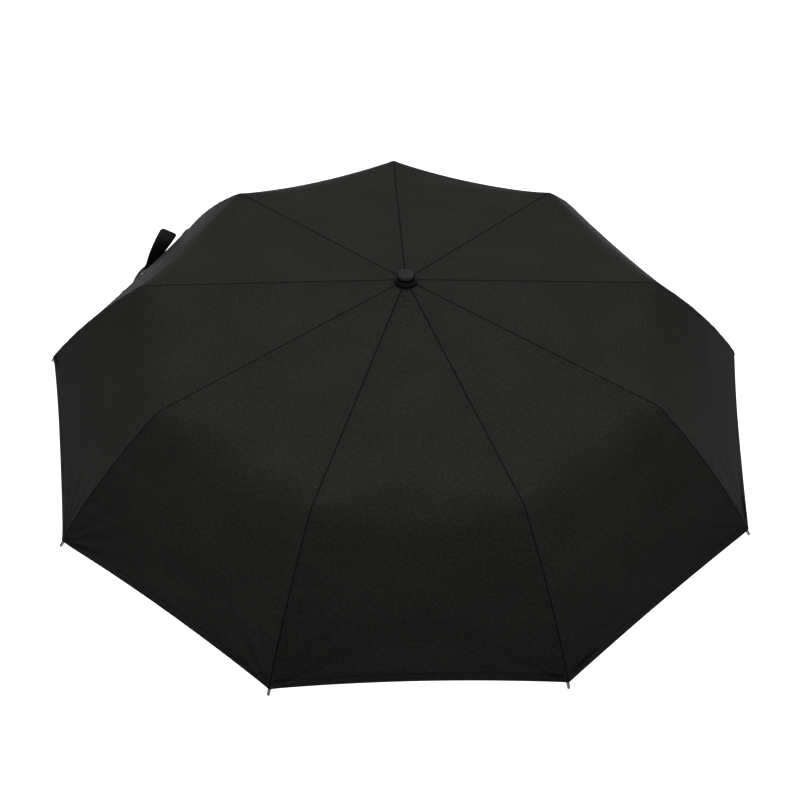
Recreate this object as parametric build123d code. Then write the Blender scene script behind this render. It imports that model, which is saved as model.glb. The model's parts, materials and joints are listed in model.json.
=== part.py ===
"""Nine-rib, three-fold umbrella with a telescoping shaft, drawn open.

Frame: millimetres, +Z up along the shaft, origin on the shaft's axis inside the hand grip. Rib 1 points
along +Y and the others follow every 40 degrees. A rib is drawn in its own plane, where r is the distance
from the shaft, z is the height and an angle is measured from outwards towards up.

Each rib is four links: a top rib hinged in the crown hub, a stretcher that props it from the runner, a
middle rib and an outer rib. Closing turns the top rib down, the middle rib up outside it and the outer
rib down again outside that.
"""
from build123d import *
import math
import os

os.makedirs("parts", exist_ok=True)

# ---- driving dimensions ----
RIBS = 9
RIB_1_AZIMUTH = 90.0
RIB_STEP = 360.0 / RIBS
TIP_RADIUS = 480.0  # shaft to canopy corner
APEX_Z = 558.0  # where the canopy meets the shaft's axis

CANOPY_SLOPE = -9.38  # of the taut inner part, down from the apex, degrees
CANOPY_KNEE_R = 339.0  # over the joint of the middle and outer ribs
CANOPY_DROP = 200.6  # apex to canopy corner
CANOPY_BULGE = 7.0  # of the outer part over its chord
CANOPY_THICKNESS = 0.5
CANOPY_HOLE_R = 6.5

HINGE_R = 11.0  # of the rib hinges in the hub, and of the stretcher hinges in the runner
HUB_HINGE_DROP = 8.0  # hub hinge below the apex
TOP_RIB_LENGTH = 172.0
TOP_RIB_ANGLE = -10.0
STRETCHER_PIVOT = 85.0  # along the top rib
STRETCHER_LENGTH = 100.0
MIDDLE_RIB_LENGTH = 160.0
MIDDLE_RIB_ANGLE = -8.0
PIVOT_OFFSET = 3.0  # a folding pivot stands this far off its rib's centre line
OUTER_RIB_END = (478.2, -203.4)  # end of the rod's centre line, from the apex
OUTER_RIB_BULGE = 7.0

CHANNEL = 4.0  # width and height of the top and middle ribs' channel
WALL = 0.5
STRETCHER_SIZE = 2.4
TONGUE = 2.2  # thickness of a tongue between two ears
LUG_R = 2.2
SLIM_LUG_R = 1.7  # of the tongue that the folded stretcher passes
RIVET_R = 0.7
RIVET_HEAD_R = 1.3
RIVET_HEAD = 0.4
WIRE_R = 0.6
EYE_HOLE_R = 0.7
ROD_R = 1.4
TIP_R = 2.0
TIP_LENGTH = 14.0
TIP_BEYOND = 7.0  # how far a tip stands past the end of its rod

UPPER_TUBE_R = 7.0
UPPER_TUBE_TOP = -5.0  # heights of the shaft's parts are from the apex
UPPER_TUBE_END = -222.0
MIDDLE_TUBE_R = 5.9
MIDDLE_TUBE_TOP = -190.0
MIDDLE_TUBE_END = -364.0
LOWER_TUBE_R = 4.9
LOWER_TUBE_TOP = -332.0
TUBE_WALL = (0.6, 0.5, 0.6)  # upper, middle, lower
SLIDE_GAP = 0.05
FIT_GAP = 0.02
BUSH_LENGTH = 8.0

RUNNER_BORE_R = 7.12
RUNNER_BARREL_R = 8.8
RUNNER_RING_R = 13.5
RUNNER_ABOVE_HINGE = 3.0
RUNNER_RING_HEIGHT = 7.5
RUNNER_HEIGHT = 28.0
RUNNER_SLOT = 4.2

HUB_R = 13.5
HUB_TOP = -3.6
HUB_BOTTOM = -12.4
HUB_SLOT = 2.4
HUB_SLOT_DEPTH_R = 8.8
CAP_TOP_R = 11.5
CAP_FLANGE_R = 14.5
CAP_HEIGHT = 9.0
CAP_SEAT = 3.4  # where the cap's top meets its flange
CAP_GAP = 0.6  # room for the canopy and its backing under the flange
HUB_STUD_R = 4.0
HUB_STUD_TOP = 6.0

HANDLE_TOP = 54.0
HANDLE_BOTTOM = -26.0
GRIP_R = 16.0  # of the straight grip, whose middle is the origin
GRIP_TOP = 20.0
GRIP_BOTTOM = -20.0
SOCKET_R = 8.0
HEAD_R = 17.6  # of the handle round its button
BUTTON_Z = 39.0
BUTTON_WIDTH = 11.0
BUTTON_HEIGHT = 17.0
BUTTON_PROUD = 2.6
BUTTON_POCKET = 8.0  # depth of its pocket from the handle's side
LANYARD_SLOT = (14.0, 6.0, 5.0)  # in the end cap, crossed by a bar
LANYARD_BAR_R = 1.2

STRAP_WIDTH = 25.0
STRAP_THICKNESS = 1.2
STRAP_SHARE = 0.62  # along the hem, from rib 3 back to rib 2


# ---- places worked out from them ----
def unit(angle):
    """Direction of an angle in a rib's plane."""
    return Vector(math.cos(math.radians(angle)), 0, math.sin(math.radians(angle)))


def side(angle):
    """The canopy's side of a link that lies at that angle."""
    return unit(angle + 90)


HUB_HINGE = Vector(HINGE_R, 0, -HUB_HINGE_DROP)
INNER_JOINT = HUB_HINGE + unit(TOP_RIB_ANGLE) * TOP_RIB_LENGTH + side(TOP_RIB_ANGLE) * PIVOT_OFFSET
OUTER_JOINT = INNER_JOINT + unit(MIDDLE_RIB_ANGLE) * MIDDLE_RIB_LENGTH
OUTER_JOINT -= side(MIDDLE_RIB_ANGLE) * 2 * PIVOT_OFFSET
PROP = HUB_HINGE + unit(TOP_RIB_ANGLE) * STRETCHER_PIVOT
PROP_RUN = PROP.X - HINGE_R
RUNNER_HINGE = Vector(HINGE_R, 0, PROP.Z - math.sqrt(STRETCHER_LENGTH**2 - PROP_RUN**2))
STRETCHER_ANGLE = math.degrees(math.atan2(RUNNER_HINGE.Z - PROP.Z, RUNNER_HINGE.X - PROP.X))
CANOPY_KNEE = Vector(CANOPY_KNEE_R, 0, CANOPY_KNEE_R * math.tan(math.radians(CANOPY_SLOPE)))
CANOPY_CORNER = Vector(TIP_RADIUS, 0, -CANOPY_DROP)
HALF_STEP = math.radians(RIB_STEP / 2)


def outer_rib_angle():
    """Angle of the outer rib at its joint, so that its bent rod ends where it should."""
    end = Vector(OUTER_RIB_END[0], 0, OUTER_RIB_END[1])
    angle = -40.0
    for _ in range(20):
        start = OUTER_JOINT + side(angle) * PIVOT_OFFSET
        chord = end - start
        turn = 4 * OUTER_RIB_BULGE / chord.length
        angle = math.degrees(math.atan2(chord.Z, chord.X) + turn)
    return angle, chord.length


OUTER_RIB_ANGLE, OUTER_RIB_CHORD = outer_rib_angle()


def azimuth(number):
    return RIB_1_AZIMUTH + RIB_STEP * (number - 1)


def place(link, pivot, angle, number):
    """A link drawn along +X from its pivot, put in rib number's plane."""
    frame = Rot(0, 0, azimuth(number)) * Pos(pivot.X, 0, pivot.Z + APEX_Z) * Rot(0, -angle, 0)
    return frame * link


def from_apex(shape):
    return Pos(0, 0, APEX_Z) * shape


# ---- building blocks ----
def tube(outer, inner, low, high):
    """Round tube along Z."""
    wall = Circle(outer) - Circle(inner)
    return extrude(Plane.XY.offset(low) * wall, high - low)


def disc(radius, low, high):
    """Round bar along Z."""
    return extrude(Plane.XY.offset(low) * Circle(radius), high - low)


def bar(x0, x1, z0, z1, width):
    """Straight bar along X, centred across."""
    return Pos((x0 + x1) / 2, 0, (z0 + z1) / 2) * Box(x1 - x0, width, z1 - z0)


def channel(x0, x1, z0, z1, width, wall):
    """Bar with a channel along its underside."""
    inner = width - 2 * wall
    return bar(x0, x1, z0, z1, width) - bar(x0 - 1, x1 + 1, z0 - 1, z1 - wall, inner)


def cross_pin(x, z, radius, width):
    """Cylinder across a link."""
    return Pos(x, 0, z) * Rot(90, 0, 0) * Cylinder(radius, width)


def lug(pivot, x, z0, z1, radius, width):
    """Plate across a link: a round end about the pivot, tapering to a straight end at x."""
    outline = [Edge.make_circle(radius, Plane((pivot[0], pivot[1], 0)))]
    outline += [Edge.make_line((x, z0), (x, z1))]
    plate = extrude(Face(Wire(make_hull(outline).wire())), width / 2, both=True)
    return Rot(90, 0, 0) * plate


def ears(pivot, x, z0, z1):
    """The pair of side plates that hold a tongue."""
    pair = lug(pivot, x, z0, z1, LUG_R, CHANNEL)
    gap = CHANNEL - 2 * WALL
    return pair - lug(pivot, x, z0 - 1, z1 + 1, LUG_R + 1, gap)


def rivet(x, z):
    """Rivet through a channel, with a head on each side."""
    inside = CHANNEL + 2 * FIT_GAP
    heads = cross_pin(x, z, RIVET_HEAD_R, inside + 2 * RIVET_HEAD)
    heads -= cross_pin(x, z, RIVET_HEAD_R + 1, inside)
    return heads + cross_pin(x, z, RIVET_R, inside)


def bent_rod(radius, start, length, angle_turn):
    """Round rod along X that bends down through angle_turn over its length."""
    bend_r = length / math.radians(angle_turn)
    half = math.radians(angle_turn / 2)
    middle = Vector(bend_r * math.sin(half), 0, -bend_r * (1 - math.cos(half)))
    end = Vector(bend_r * math.sin(2 * half), 0, -bend_r * (1 - math.cos(2 * half)))
    path = Pos(start.X, start.Y, start.Z) * ThreePointArc((0, 0, 0), middle, end)
    section = Plane(origin=start, z_dir=(1, 0, 0)) * Circle(radius)
    return sweep(section, path=path), start + end


# ---- the four links of a rib, each drawn along +X from its pivot ----
def top_rib():
    half = CHANNEL / 2
    web_end = TOP_RIB_LENGTH - 14
    joint = (TOP_RIB_LENGTH, PIVOT_OFFSET)
    body = channel(6, web_end + 2, -half, half, CHANNEL, WALL)
    body += ears(joint, web_end, -half, half)
    body -= bar(web_end, TOP_RIB_LENGTH, half - WALL, half, CHANNEL - 2 * WALL)
    body += lug((0, 0), 12, -half + 0.4, half - WALL + 0.1, 1.9, 1.8)
    body -= cross_pin(0, 0, EYE_HOLE_R, CHANNEL)
    holes = [(STRETCHER_PIVOT, 0), joint]
    for x, z in holes:
        body -= cross_pin(x, z, RIVET_R + FIT_GAP, CHANNEL + 1)
    return Compound(children=[body] + [rivet(x, z) for x, z in holes])


def stretcher():
    half = STRETCHER_SIZE / 2
    body = channel(3, STRETCHER_LENGTH - 3, -half, half, STRETCHER_SIZE, WALL)
    body += lug((0, 0), 5, -half, half, half, STRETCHER_SIZE)
    body += lug((STRETCHER_LENGTH, 0), STRETCHER_LENGTH - 5, -half, half, half, STRETCHER_SIZE)
    body -= cross_pin(0, 0, RIVET_R + SLIDE_GAP, CHANNEL)
    body -= cross_pin(STRETCHER_LENGTH, 0, WIRE_R + FIT_GAP, CHANNEL)
    end_pin = cross_pin(STRETCHER_LENGTH, 0, WIRE_R, RUNNER_SLOT - 0.6)
    return Compound(children=[body, end_pin])


def middle_rib():
    top = -PIVOT_OFFSET + CHANNEL / 2
    bottom = -PIVOT_OFFSET - CHANNEL / 2
    joint = (MIDDLE_RIB_LENGTH, -2 * PIVOT_OFFSET)
    web_end = MIDDLE_RIB_LENGTH - 12
    body = channel(12, web_end + 2, bottom, top, CHANNEL, WALL)
    body += ears(joint, web_end, bottom, top)
    body += lug((0, 0), 18, bottom + 0.5, top, SLIM_LUG_R, TONGUE)
    body -= cross_pin(0, 0, RIVET_R + SLIDE_GAP, CHANNEL)
    body -= cross_pin(*joint, RIVET_R + FIT_GAP, CHANNEL + 1)
    return Compound(children=[body, rivet(*joint)])


def outer_rib():
    """Fitting with a tongue, a bent rod and a tip."""
    turn = math.degrees(8 * OUTER_RIB_BULGE / OUTER_RIB_CHORD)
    rod_length = OUTER_RIB_CHORD * (1 + (turn * math.pi / 180) ** 2 / 24)
    start = Vector(0, 0, PIVOT_OFFSET)
    rod, end = bent_rod(ROD_R, start, rod_length, turn)
    bore, end = bent_rod(ROD_R + FIT_GAP, start, rod_length + FIT_GAP, turn)
    fitting = lug((0, 0), 16, PIVOT_OFFSET - LUG_R, PIVOT_OFFSET + 1.9, LUG_R, TONGUE)
    fitting += Pos(14, 0, PIVOT_OFFSET) * Rot(0, 90, 0) * Cylinder(2.1, 12)
    fitting -= cross_pin(0, 0, RIVET_R + SLIDE_GAP, CHANNEL)
    rod -= bar(-1, 9, -5, 8, 8)
    fitting -= bore - bar(-1, 9 - FIT_GAP, -5, 8, 8)
    tip = Cylinder(TIP_R, TIP_LENGTH - TIP_R) + Pos(0, 0, TIP_LENGTH / 2 - TIP_R / 2) * Sphere(TIP_R)
    tip = Pos(end.X, 0, end.Z) * Rot(0, 90 + turn, 0) * Pos(0, 0, TIP_BEYOND - TIP_LENGTH / 2) * tip
    tip -= bore
    return Compound(children=[fitting, rod, tip])


# ---- canopy, one thin sheet of nine gores ----
def canopy():
    """Each gore is the rib's outline seen at mid-gore, drawn across and trimmed at its two ribs."""
    narrow = math.cos(HALF_STEP)

    def at(point, drop=0.0):
        return (point.X * narrow, point.Z - drop)

    def bulge(drop):
        chord = CANOPY_CORNER - CANOPY_KNEE
        out = Vector(-chord.Z, 0, chord.X).normalized()
        return at((CANOPY_KNEE + CANOPY_CORNER) / 2 + out * CANOPY_BULGE, drop)

    hole = Vector(CANOPY_HOLE_R, 0, CANOPY_HOLE_R * math.tan(math.radians(CANOPY_SLOPE)))
    t = CANOPY_THICKNESS
    outline = [
        Line(at(hole), at(CANOPY_KNEE)),
        ThreePointArc(at(CANOPY_KNEE), bulge(0), at(CANOPY_CORNER)),
        Line(at(CANOPY_CORNER), at(CANOPY_CORNER, t)),
        ThreePointArc(at(CANOPY_CORNER, t), bulge(t), at(CANOPY_KNEE, t)),
        Line(at(CANOPY_KNEE, t), at(hole, t)),
        Line(at(hole, t), at(hole)),
    ]
    section = Plane.XZ * make_face(Curve() + outline)
    strip = extrude(section, TIP_RADIUS / 2, both=True)
    reach = TIP_RADIUS * 1.1
    across = reach * math.tan(HALF_STEP)
    triangle = make_face(Polyline((0, 0), (reach, -across), (reach, across), close=True))
    wedge = extrude(triangle, -2 * CANOPY_DROP)
    gore = strip & wedge
    sheet = None
    for number in range(1, RIBS + 1):
        piece = Rot(0, 0, azimuth(number) + RIB_STEP / 2) * gore
        sheet = piece if sheet is None else sheet + piece
    return from_apex(sheet)


def closure_strap():
    """Stiff strap sewn to the hem of the gore between ribs 2 and 3, its free end standing up."""
    corner_2, corner_3 = (Vector(TIP_RADIUS, 0, 0).rotate(Axis.Z, azimuth(n)) for n in (2, 3))
    along = (corner_2 - corner_3).normalized()
    foot = corner_3 + (corner_2 - corner_3) * STRAP_SHARE + Vector(0, 0, APEX_Z - CANOPY_DROP)
    outline = FilletPolyline((-30, 2), (0, 4), (24, 20), (42, 40), (60, 46), radius=4)
    ribbon = offset(outline, STRAP_THICKNESS / 2, side=Side.BOTH, kind=Kind.ARC)
    band = extrude(make_face(ribbon.edges()), STRAP_WIDTH)
    out = Vector(-along.Y, along.X, 0)
    return Plane(origin=foot + out * (STRAP_WIDTH + 0.8), x_dir=along, z_dir=-out) * band


# ---- crown ----
def cap_flange():
    """Washer whose underside follows the canopy."""
    slope = math.tan(math.radians(CANOPY_SLOPE))
    low = CAP_FLANGE_R * slope + CAP_GAP
    outline = Polyline(
        (HUB_STUD_R, HUB_STUD_R * slope + CAP_GAP), (CAP_FLANGE_R, low), (CAP_FLANGE_R, low + 2.2),
        (CAP_FLANGE_R - 1.6, low + 4.2), (CAP_TOP_R + 0.6, CAP_SEAT), (HUB_STUD_R, CAP_SEAT), close=True,
    )
    return from_apex(revolve(Plane.XZ * make_face(outline), Axis.Z))


def cap_top():
    """Round button screwed on the hub's stud, over the flange."""
    outline = Polyline(
        (0, HUB_STUD_TOP), (HUB_STUD_R, HUB_STUD_TOP), (HUB_STUD_R, CAP_SEAT), (CAP_TOP_R, CAP_SEAT),
        (CAP_TOP_R, CAP_HEIGHT - 1.6), (CAP_TOP_R - 2.0, CAP_HEIGHT), (0, CAP_HEIGHT), close=True,
    )
    return from_apex(revolve(Plane.XZ * make_face(outline), Axis.Z))


def slots(width, inner_r, low, high):
    """Radial slots from inner_r outwards, one on each rib."""
    cutter = Pos(inner_r + 10, 0, (low + high) / 2) * Box(20, width, high - low)
    return [Rot(0, 0, azimuth(n)) * cutter for n in range(1, RIBS + 1)]


def crown_hub():
    body = tube(HUB_R, UPPER_TUBE_R, HUB_BOTTOM, UPPER_TUBE_TOP) + disc(HUB_R, UPPER_TUBE_TOP, HUB_TOP)
    body += disc(HUB_STUD_R, HUB_TOP, HUB_STUD_TOP)
    body -= tube(HUB_R + 1, HINGE_R - WIRE_R - SLIDE_GAP, -HUB_HINGE_DROP - 0.65, -HUB_HINGE_DROP + 0.65)
    body -= slots(HUB_SLOT, HUB_SLOT_DEPTH_R, HUB_BOTTOM - 1, HUB_TOP + 1)
    return from_apex(body)


def crown_wire():
    """Ring that the nine top ribs hang on."""
    return from_apex(Pos(0, 0, -HUB_HINGE_DROP) * Torus(HINGE_R, WIRE_R))


# ---- shaft ----
def shaft():
    """Three tubes with an end bush and a guide ring at each overlap."""
    upper_in, middle_in, lower_in = (
        r - wall for r, wall in zip((UPPER_TUBE_R, MIDDLE_TUBE_R, LOWER_TUBE_R), TUBE_WALL)
    )
    lower_end = GRIP_BOTTOM + 8 - APEX_Z
    return {
        "upper_tube": from_apex(tube(UPPER_TUBE_R, upper_in, UPPER_TUBE_END, UPPER_TUBE_TOP)),
        "upper_end_bush": from_apex(
            tube(upper_in, MIDDLE_TUBE_R + SLIDE_GAP, UPPER_TUBE_END, UPPER_TUBE_END + BUSH_LENGTH)
        ),
        "middle_tube": from_apex(tube(MIDDLE_TUBE_R, middle_in, MIDDLE_TUBE_END, MIDDLE_TUBE_TOP)),
        "middle_guide_ring": from_apex(
            tube(upper_in - SLIDE_GAP, MIDDLE_TUBE_R, MIDDLE_TUBE_TOP - BUSH_LENGTH, MIDDLE_TUBE_TOP)
        ),
        "middle_end_bush": from_apex(
            tube(middle_in, LOWER_TUBE_R + SLIDE_GAP, MIDDLE_TUBE_END, MIDDLE_TUBE_END + BUSH_LENGTH)
        ),
        "lower_tube": from_apex(tube(LOWER_TUBE_R, lower_in, lower_end, LOWER_TUBE_TOP)),
        "lower_guide_ring": from_apex(
            tube(middle_in - SLIDE_GAP, LOWER_TUBE_R, LOWER_TUBE_TOP - BUSH_LENGTH, LOWER_TUBE_TOP)
        ),
    }


def runner():
    top = RUNNER_HINGE.Z + RUNNER_ABOVE_HINGE
    ring_low = top - RUNNER_RING_HEIGHT
    low = top - RUNNER_HEIGHT
    outline = Polyline(
        (RUNNER_BORE_R, low), (12.0, low), (12.6, low + 1.5), (RUNNER_BARREL_R, low + 7),
        (RUNNER_BARREL_R, ring_low), (RUNNER_RING_R, ring_low), (RUNNER_RING_R, top),
        (RUNNER_BORE_R, top), close=True,
    )
    body = revolve(Plane.XZ * make_face(outline), Axis.Z)
    body -= slots(RUNNER_SLOT, RUNNER_BARREL_R, ring_low - 1, top + 1)
    return from_apex(body)


# ---- handle ----
def handle():
    socket_top = HANDLE_TOP - 6
    outline = Polyline(
        (SOCKET_R, GRIP_BOTTOM), (GRIP_R, GRIP_BOTTOM), (GRIP_R, GRIP_TOP), (17.2, GRIP_TOP + 9),
        (HEAD_R, GRIP_TOP + 20), (HEAD_R, HANDLE_TOP - 2.5), (HEAD_R - 1.2, HANDLE_TOP),
        (12.0, HANDLE_TOP), (12.0, socket_top), (SOCKET_R, socket_top), close=True,
    )
    body = revolve(Plane.XZ * make_face(outline), Axis.Z)
    face_y = -HEAD_R
    pocket = Box(BUTTON_WIDTH + 0.6, BUTTON_POCKET + 2, BUTTON_HEIGHT + 0.6)
    pocket = Pos(0, face_y + BUTTON_POCKET / 2 - 1, BUTTON_Z) * pocket
    body -= fillet(pocket.edges().filter_by(Axis.Y), 3.0)
    socket = tube(SOCKET_R, LOWER_TUBE_R, GRIP_BOTTOM, socket_top)
    end_cap = disc(GRIP_R - 1.4, HANDLE_BOTTOM, GRIP_BOTTOM)
    end_cap = chamfer(end_cap.edges().group_by(Axis.Z)[0], 1.0)
    end_cap -= Pos(0, 0, HANDLE_BOTTOM + LANYARD_SLOT[2] / 2) * Box(*LANYARD_SLOT)
    lanyard_bar = Pos(0, 0, HANDLE_BOTTOM + 2) * Rot(90, 0, 0) * Cylinder(LANYARD_BAR_R, LANYARD_SLOT[1])
    push = Box(BUTTON_WIDTH, BUTTON_PROUD + 3.2, BUTTON_HEIGHT)
    push = Pos(0, face_y - BUTTON_PROUD / 2 + 1.6, BUTTON_Z) * push
    push = fillet(push.edges().filter_by(Axis.Y), 2.7)
    push = fillet(push.faces().sort_by(Axis.Y)[0].edges(), 1.0)
    return {
        "handle_body": body,
        "shaft_socket": socket,
        "handle_end_cap": end_cap,
        "lanyard_bar": lanyard_bar,
        "push_button": push,
    }


def button_spring():
    """Coil between the pocket's floor and the button."""
    wire = 0.4
    coil_r = 2.6
    floor_y = -HEAD_R + BUTTON_POCKET
    back_y = -HEAD_R + 3.2
    height = floor_y - back_y - 2 * wire - 0.1
    coil = Helix(pitch=height / 3, height=height, radius=coil_r)
    section = Plane(origin=coil @ 0, z_dir=coil % 0) * Circle(wire)
    spring = sweep(section, path=coil, is_frenet=True)
    return Pos(0, back_y + wire + 0.05, BUTTON_Z) * Rot(-90, 0, 0) * spring


# ---- write every node ----
nodes = {
    "canopy": canopy(),
    "closure_strap": closure_strap(),
    "cap_top": cap_top(),
    "cap_flange": cap_flange(),
    "crown_hub": crown_hub(),
    "crown_wire": crown_wire(),
    "runner": runner(),
    "button_spring": button_spring(),
}
nodes.update(shaft())
nodes.update(handle())
for number in range(1, RIBS + 1):
    nodes[f"top_rib_{number}"] = place(top_rib(), HUB_HINGE, TOP_RIB_ANGLE, number)
    nodes[f"stretcher_{number}"] = place(stretcher(), PROP, STRETCHER_ANGLE, number)
    nodes[f"middle_rib_{number}"] = place(middle_rib(), INNER_JOINT, MIDDLE_RIB_ANGLE, number)
    nodes[f"outer_rib_{number}"] = place(outer_rib(), OUTER_JOINT, OUTER_RIB_ANGLE, number)

for name, shape in nodes.items():
    export_step(Compound(shape.solids()), f"parts/{name}.step")
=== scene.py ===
import json
import math

import bpy
import numpy as np
from mathutils import Matrix, Vector


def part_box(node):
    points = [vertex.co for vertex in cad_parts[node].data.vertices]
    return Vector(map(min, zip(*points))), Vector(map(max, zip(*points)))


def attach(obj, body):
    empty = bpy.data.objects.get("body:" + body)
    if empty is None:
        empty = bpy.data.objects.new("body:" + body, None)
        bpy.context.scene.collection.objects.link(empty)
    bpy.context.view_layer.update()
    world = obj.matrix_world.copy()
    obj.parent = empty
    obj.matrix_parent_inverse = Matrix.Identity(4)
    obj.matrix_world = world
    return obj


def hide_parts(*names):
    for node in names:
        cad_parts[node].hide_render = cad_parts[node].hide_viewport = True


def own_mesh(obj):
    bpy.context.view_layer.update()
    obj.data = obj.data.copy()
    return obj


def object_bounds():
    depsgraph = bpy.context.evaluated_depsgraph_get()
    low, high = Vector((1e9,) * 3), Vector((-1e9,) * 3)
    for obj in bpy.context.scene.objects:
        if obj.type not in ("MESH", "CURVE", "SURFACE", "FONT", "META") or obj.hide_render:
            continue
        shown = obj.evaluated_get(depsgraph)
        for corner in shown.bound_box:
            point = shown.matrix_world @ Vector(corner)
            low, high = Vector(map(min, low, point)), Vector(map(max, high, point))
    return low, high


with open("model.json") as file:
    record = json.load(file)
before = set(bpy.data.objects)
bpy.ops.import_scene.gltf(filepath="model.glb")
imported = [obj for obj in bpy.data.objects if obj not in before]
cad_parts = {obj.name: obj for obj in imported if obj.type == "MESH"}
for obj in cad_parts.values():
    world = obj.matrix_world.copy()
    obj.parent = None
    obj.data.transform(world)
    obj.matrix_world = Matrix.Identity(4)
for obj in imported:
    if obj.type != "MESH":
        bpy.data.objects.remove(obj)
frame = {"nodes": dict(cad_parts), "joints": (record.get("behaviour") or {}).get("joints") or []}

CAD_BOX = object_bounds()
JOINTS = {j["name"]: j for j in frame["joints"]}

# ---- the object's own numbers, in metres and radians ----
RIBS = 9
STEP = math.radians(40)  # from one rib to the next
HALF = STEP / 2
RIB_1 = math.radians(90)  # azimuth of the first rib
SLOPE = math.radians(9.38)  # fall of the inner part of a rib
HOLE_R = 0.0065  # hole in the cloth at the crown
SHEET = 0.0005  # thickness of the cloth in CAD
BULGE = 0.007  # rise of the outer part of a rib over its chord
KNEE_PAST_JOINT = 0.0005


def reach(joint):
    """Distance of a joint from the shaft, and its height."""
    x, y, z = JOINTS[joint]["pos_m"]
    return math.hypot(x, y), z


canopy_low, canopy_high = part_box("canopy")
APEX = canopy_high[2] + HOLE_R * math.cos(HALF) * math.tan(SLOPE)
TIP = (canopy_high[1], canopy_low[2] + SHEET - APEX)
JOINT_1_R = reach("middle_rib_1_hinge")[0]
KNEE_R = reach("outer_rib_1_hinge")[0] + KNEE_PAST_JOINT

# ---- camera: 45 degrees above the horizon, a little to the left of the front, slightly rolled ----
CAMERA = {"elevation": 44.73, "azimuth": -4.21, "roll": 2.35, "distance": 1.726}
LENS_MM = 57.74
AIM = Vector((-0.0011, 0.0, APEX - 0.2088))


def make_camera():
    data = bpy.data.cameras.new("camera")
    data.lens = LENS_MM
    data.sensor_width = 36.0
    data.clip_end = 60.0
    camera = bpy.data.objects.new("camera", data)
    bpy.context.scene.collection.objects.link(camera)
    el, az, roll = (math.radians(CAMERA[key]) for key in ("elevation", "azimuth", "roll"))
    back = Vector((math.sin(az) * math.cos(el), -math.cos(az) * math.cos(el), math.sin(el)))
    right = (-back).cross(Vector((0, 0, 1))).normalized()
    up = right.cross(-back)
    x_axis = right * math.cos(roll) + up * math.sin(roll)
    y_axis = up * math.cos(roll) - right * math.sin(roll)
    place = AIM + back * CAMERA["distance"]
    turn = Matrix((x_axis, y_axis, back)).transposed().to_4x4()
    camera.matrix_world = Matrix.Translation(place) @ turn
    bpy.context.scene.camera = camera


def place_piece(name, mesh):
    """Object for a mesh, in the scene."""
    piece = bpy.data.objects.new(name, mesh)
    bpy.context.scene.collection.objects.link(piece)
    return piece


make_camera()


# ---- materials ----
class Nodes:
    """A material's node tree, with short ways to add what the materials here need."""

    def __init__(self, name):
        self.material = bpy.data.materials.new(name)
        self.material.use_nodes = True
        self.tree = self.material.node_tree
        self.tree.nodes.clear()
        self.out = self.add("ShaderNodeOutputMaterial")
        self.shader = self.add("ShaderNodeBsdfPrincipled")
        self.link(self.shader.outputs[0], self.out.inputs[0])

    def add(self, kind, **settings):
        node = self.tree.nodes.new(kind)
        for key, value in settings.items():
            setattr(node, key, value)
        return node

    def link(self, source, target):
        self.tree.links.new(source, target)

    def put(self, socket, value):
        if isinstance(value, bpy.types.NodeSocket):
            self.link(value, socket)
        else:
            socket.default_value = value

    def set(self, **values):
        for key, value in values.items():
            self.put(self.shader.inputs[key.replace("_", " ")], value)

    def math(self, operation, a, b=0.0):
        node = self.add("ShaderNodeMath", operation=operation)
        for socket, value in zip(node.inputs, (a, b)):
            self.put(socket, value)
        return node.outputs[0]

    def ramp(self, value, low, high, to_low=0.0, to_high=1.0):
        node = self.add("ShaderNodeMapRange", interpolation_type="SMOOTHSTEP")
        for socket, number in zip(node.inputs, (value, low, high, to_low, to_high)):
            self.put(socket, number)
        return node.outputs[0]

    def noise(self, vector, scale, detail=3.0, roughness=0.55):
        node = self.add("ShaderNodeTexNoise")
        self.put(node.inputs["Vector"], vector)
        node.inputs["Scale"].default_value = scale
        node.inputs["Detail"].default_value = detail
        node.inputs["Roughness"].default_value = roughness
        return node.outputs["Fac"]

    def mix(self, factor, a, b):
        node = self.add("ShaderNodeMix", data_type="RGBA")
        self.put(node.inputs[0], factor)
        self.put(node.inputs[6], a)
        self.put(node.inputs[7], b)
        return node.outputs[2]

    def object_place(self):
        return self.add("ShaderNodeTexCoord").outputs["Object"]

    def uv(self, name):
        return self.add("ShaderNodeUVMap", uv_map=name).outputs[0]

    def split(self, vector):
        node = self.add("ShaderNodeSeparateXYZ")
        self.put(node.inputs[0], vector)
        return node.outputs

    def bump(self, height, distance, strength):
        node = self.add("ShaderNodeBump")
        self.put(node.inputs["Height"], height)
        node.inputs["Distance"].default_value = distance
        node.inputs["Strength"].default_value = strength
        return node.outputs[0]


def grey(value, warm=0.0):
    return (value * (1 + warm), value, value * (1 - warm), 1.0)


def weave(nodes, x, y, pitch):
    """Plain weave: threads over and under each other at that pitch."""
    turns = 2 * math.pi / pitch
    across = nodes.math("SINE", nodes.math("MULTIPLY", x, turns))
    along = nodes.math("SINE", nodes.math("MULTIPLY", y, turns))
    return nodes.math("MULTIPLY", across, along)


def dashes(nodes, along, away, centre, half_width, pitch):
    """Row of stitches: 1 on the thread, 0 beside it."""
    off_centre = nodes.math("ABSOLUTE", nodes.math("SUBTRACT", away, centre))
    near = nodes.ramp(off_centre, half_width, half_width * 0.4)
    step = nodes.math("SINE", nodes.math("MULTIPLY", along, 2 * math.pi / pitch))
    return nodes.math("MULTIPLY", near, nodes.ramp(step, -0.55, -0.1))


CLOTH_RGB = (0.0108, 0.0117, 0.0103)
STRAP_RGB = (0.0038, 0.0040, 0.0036)


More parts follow.
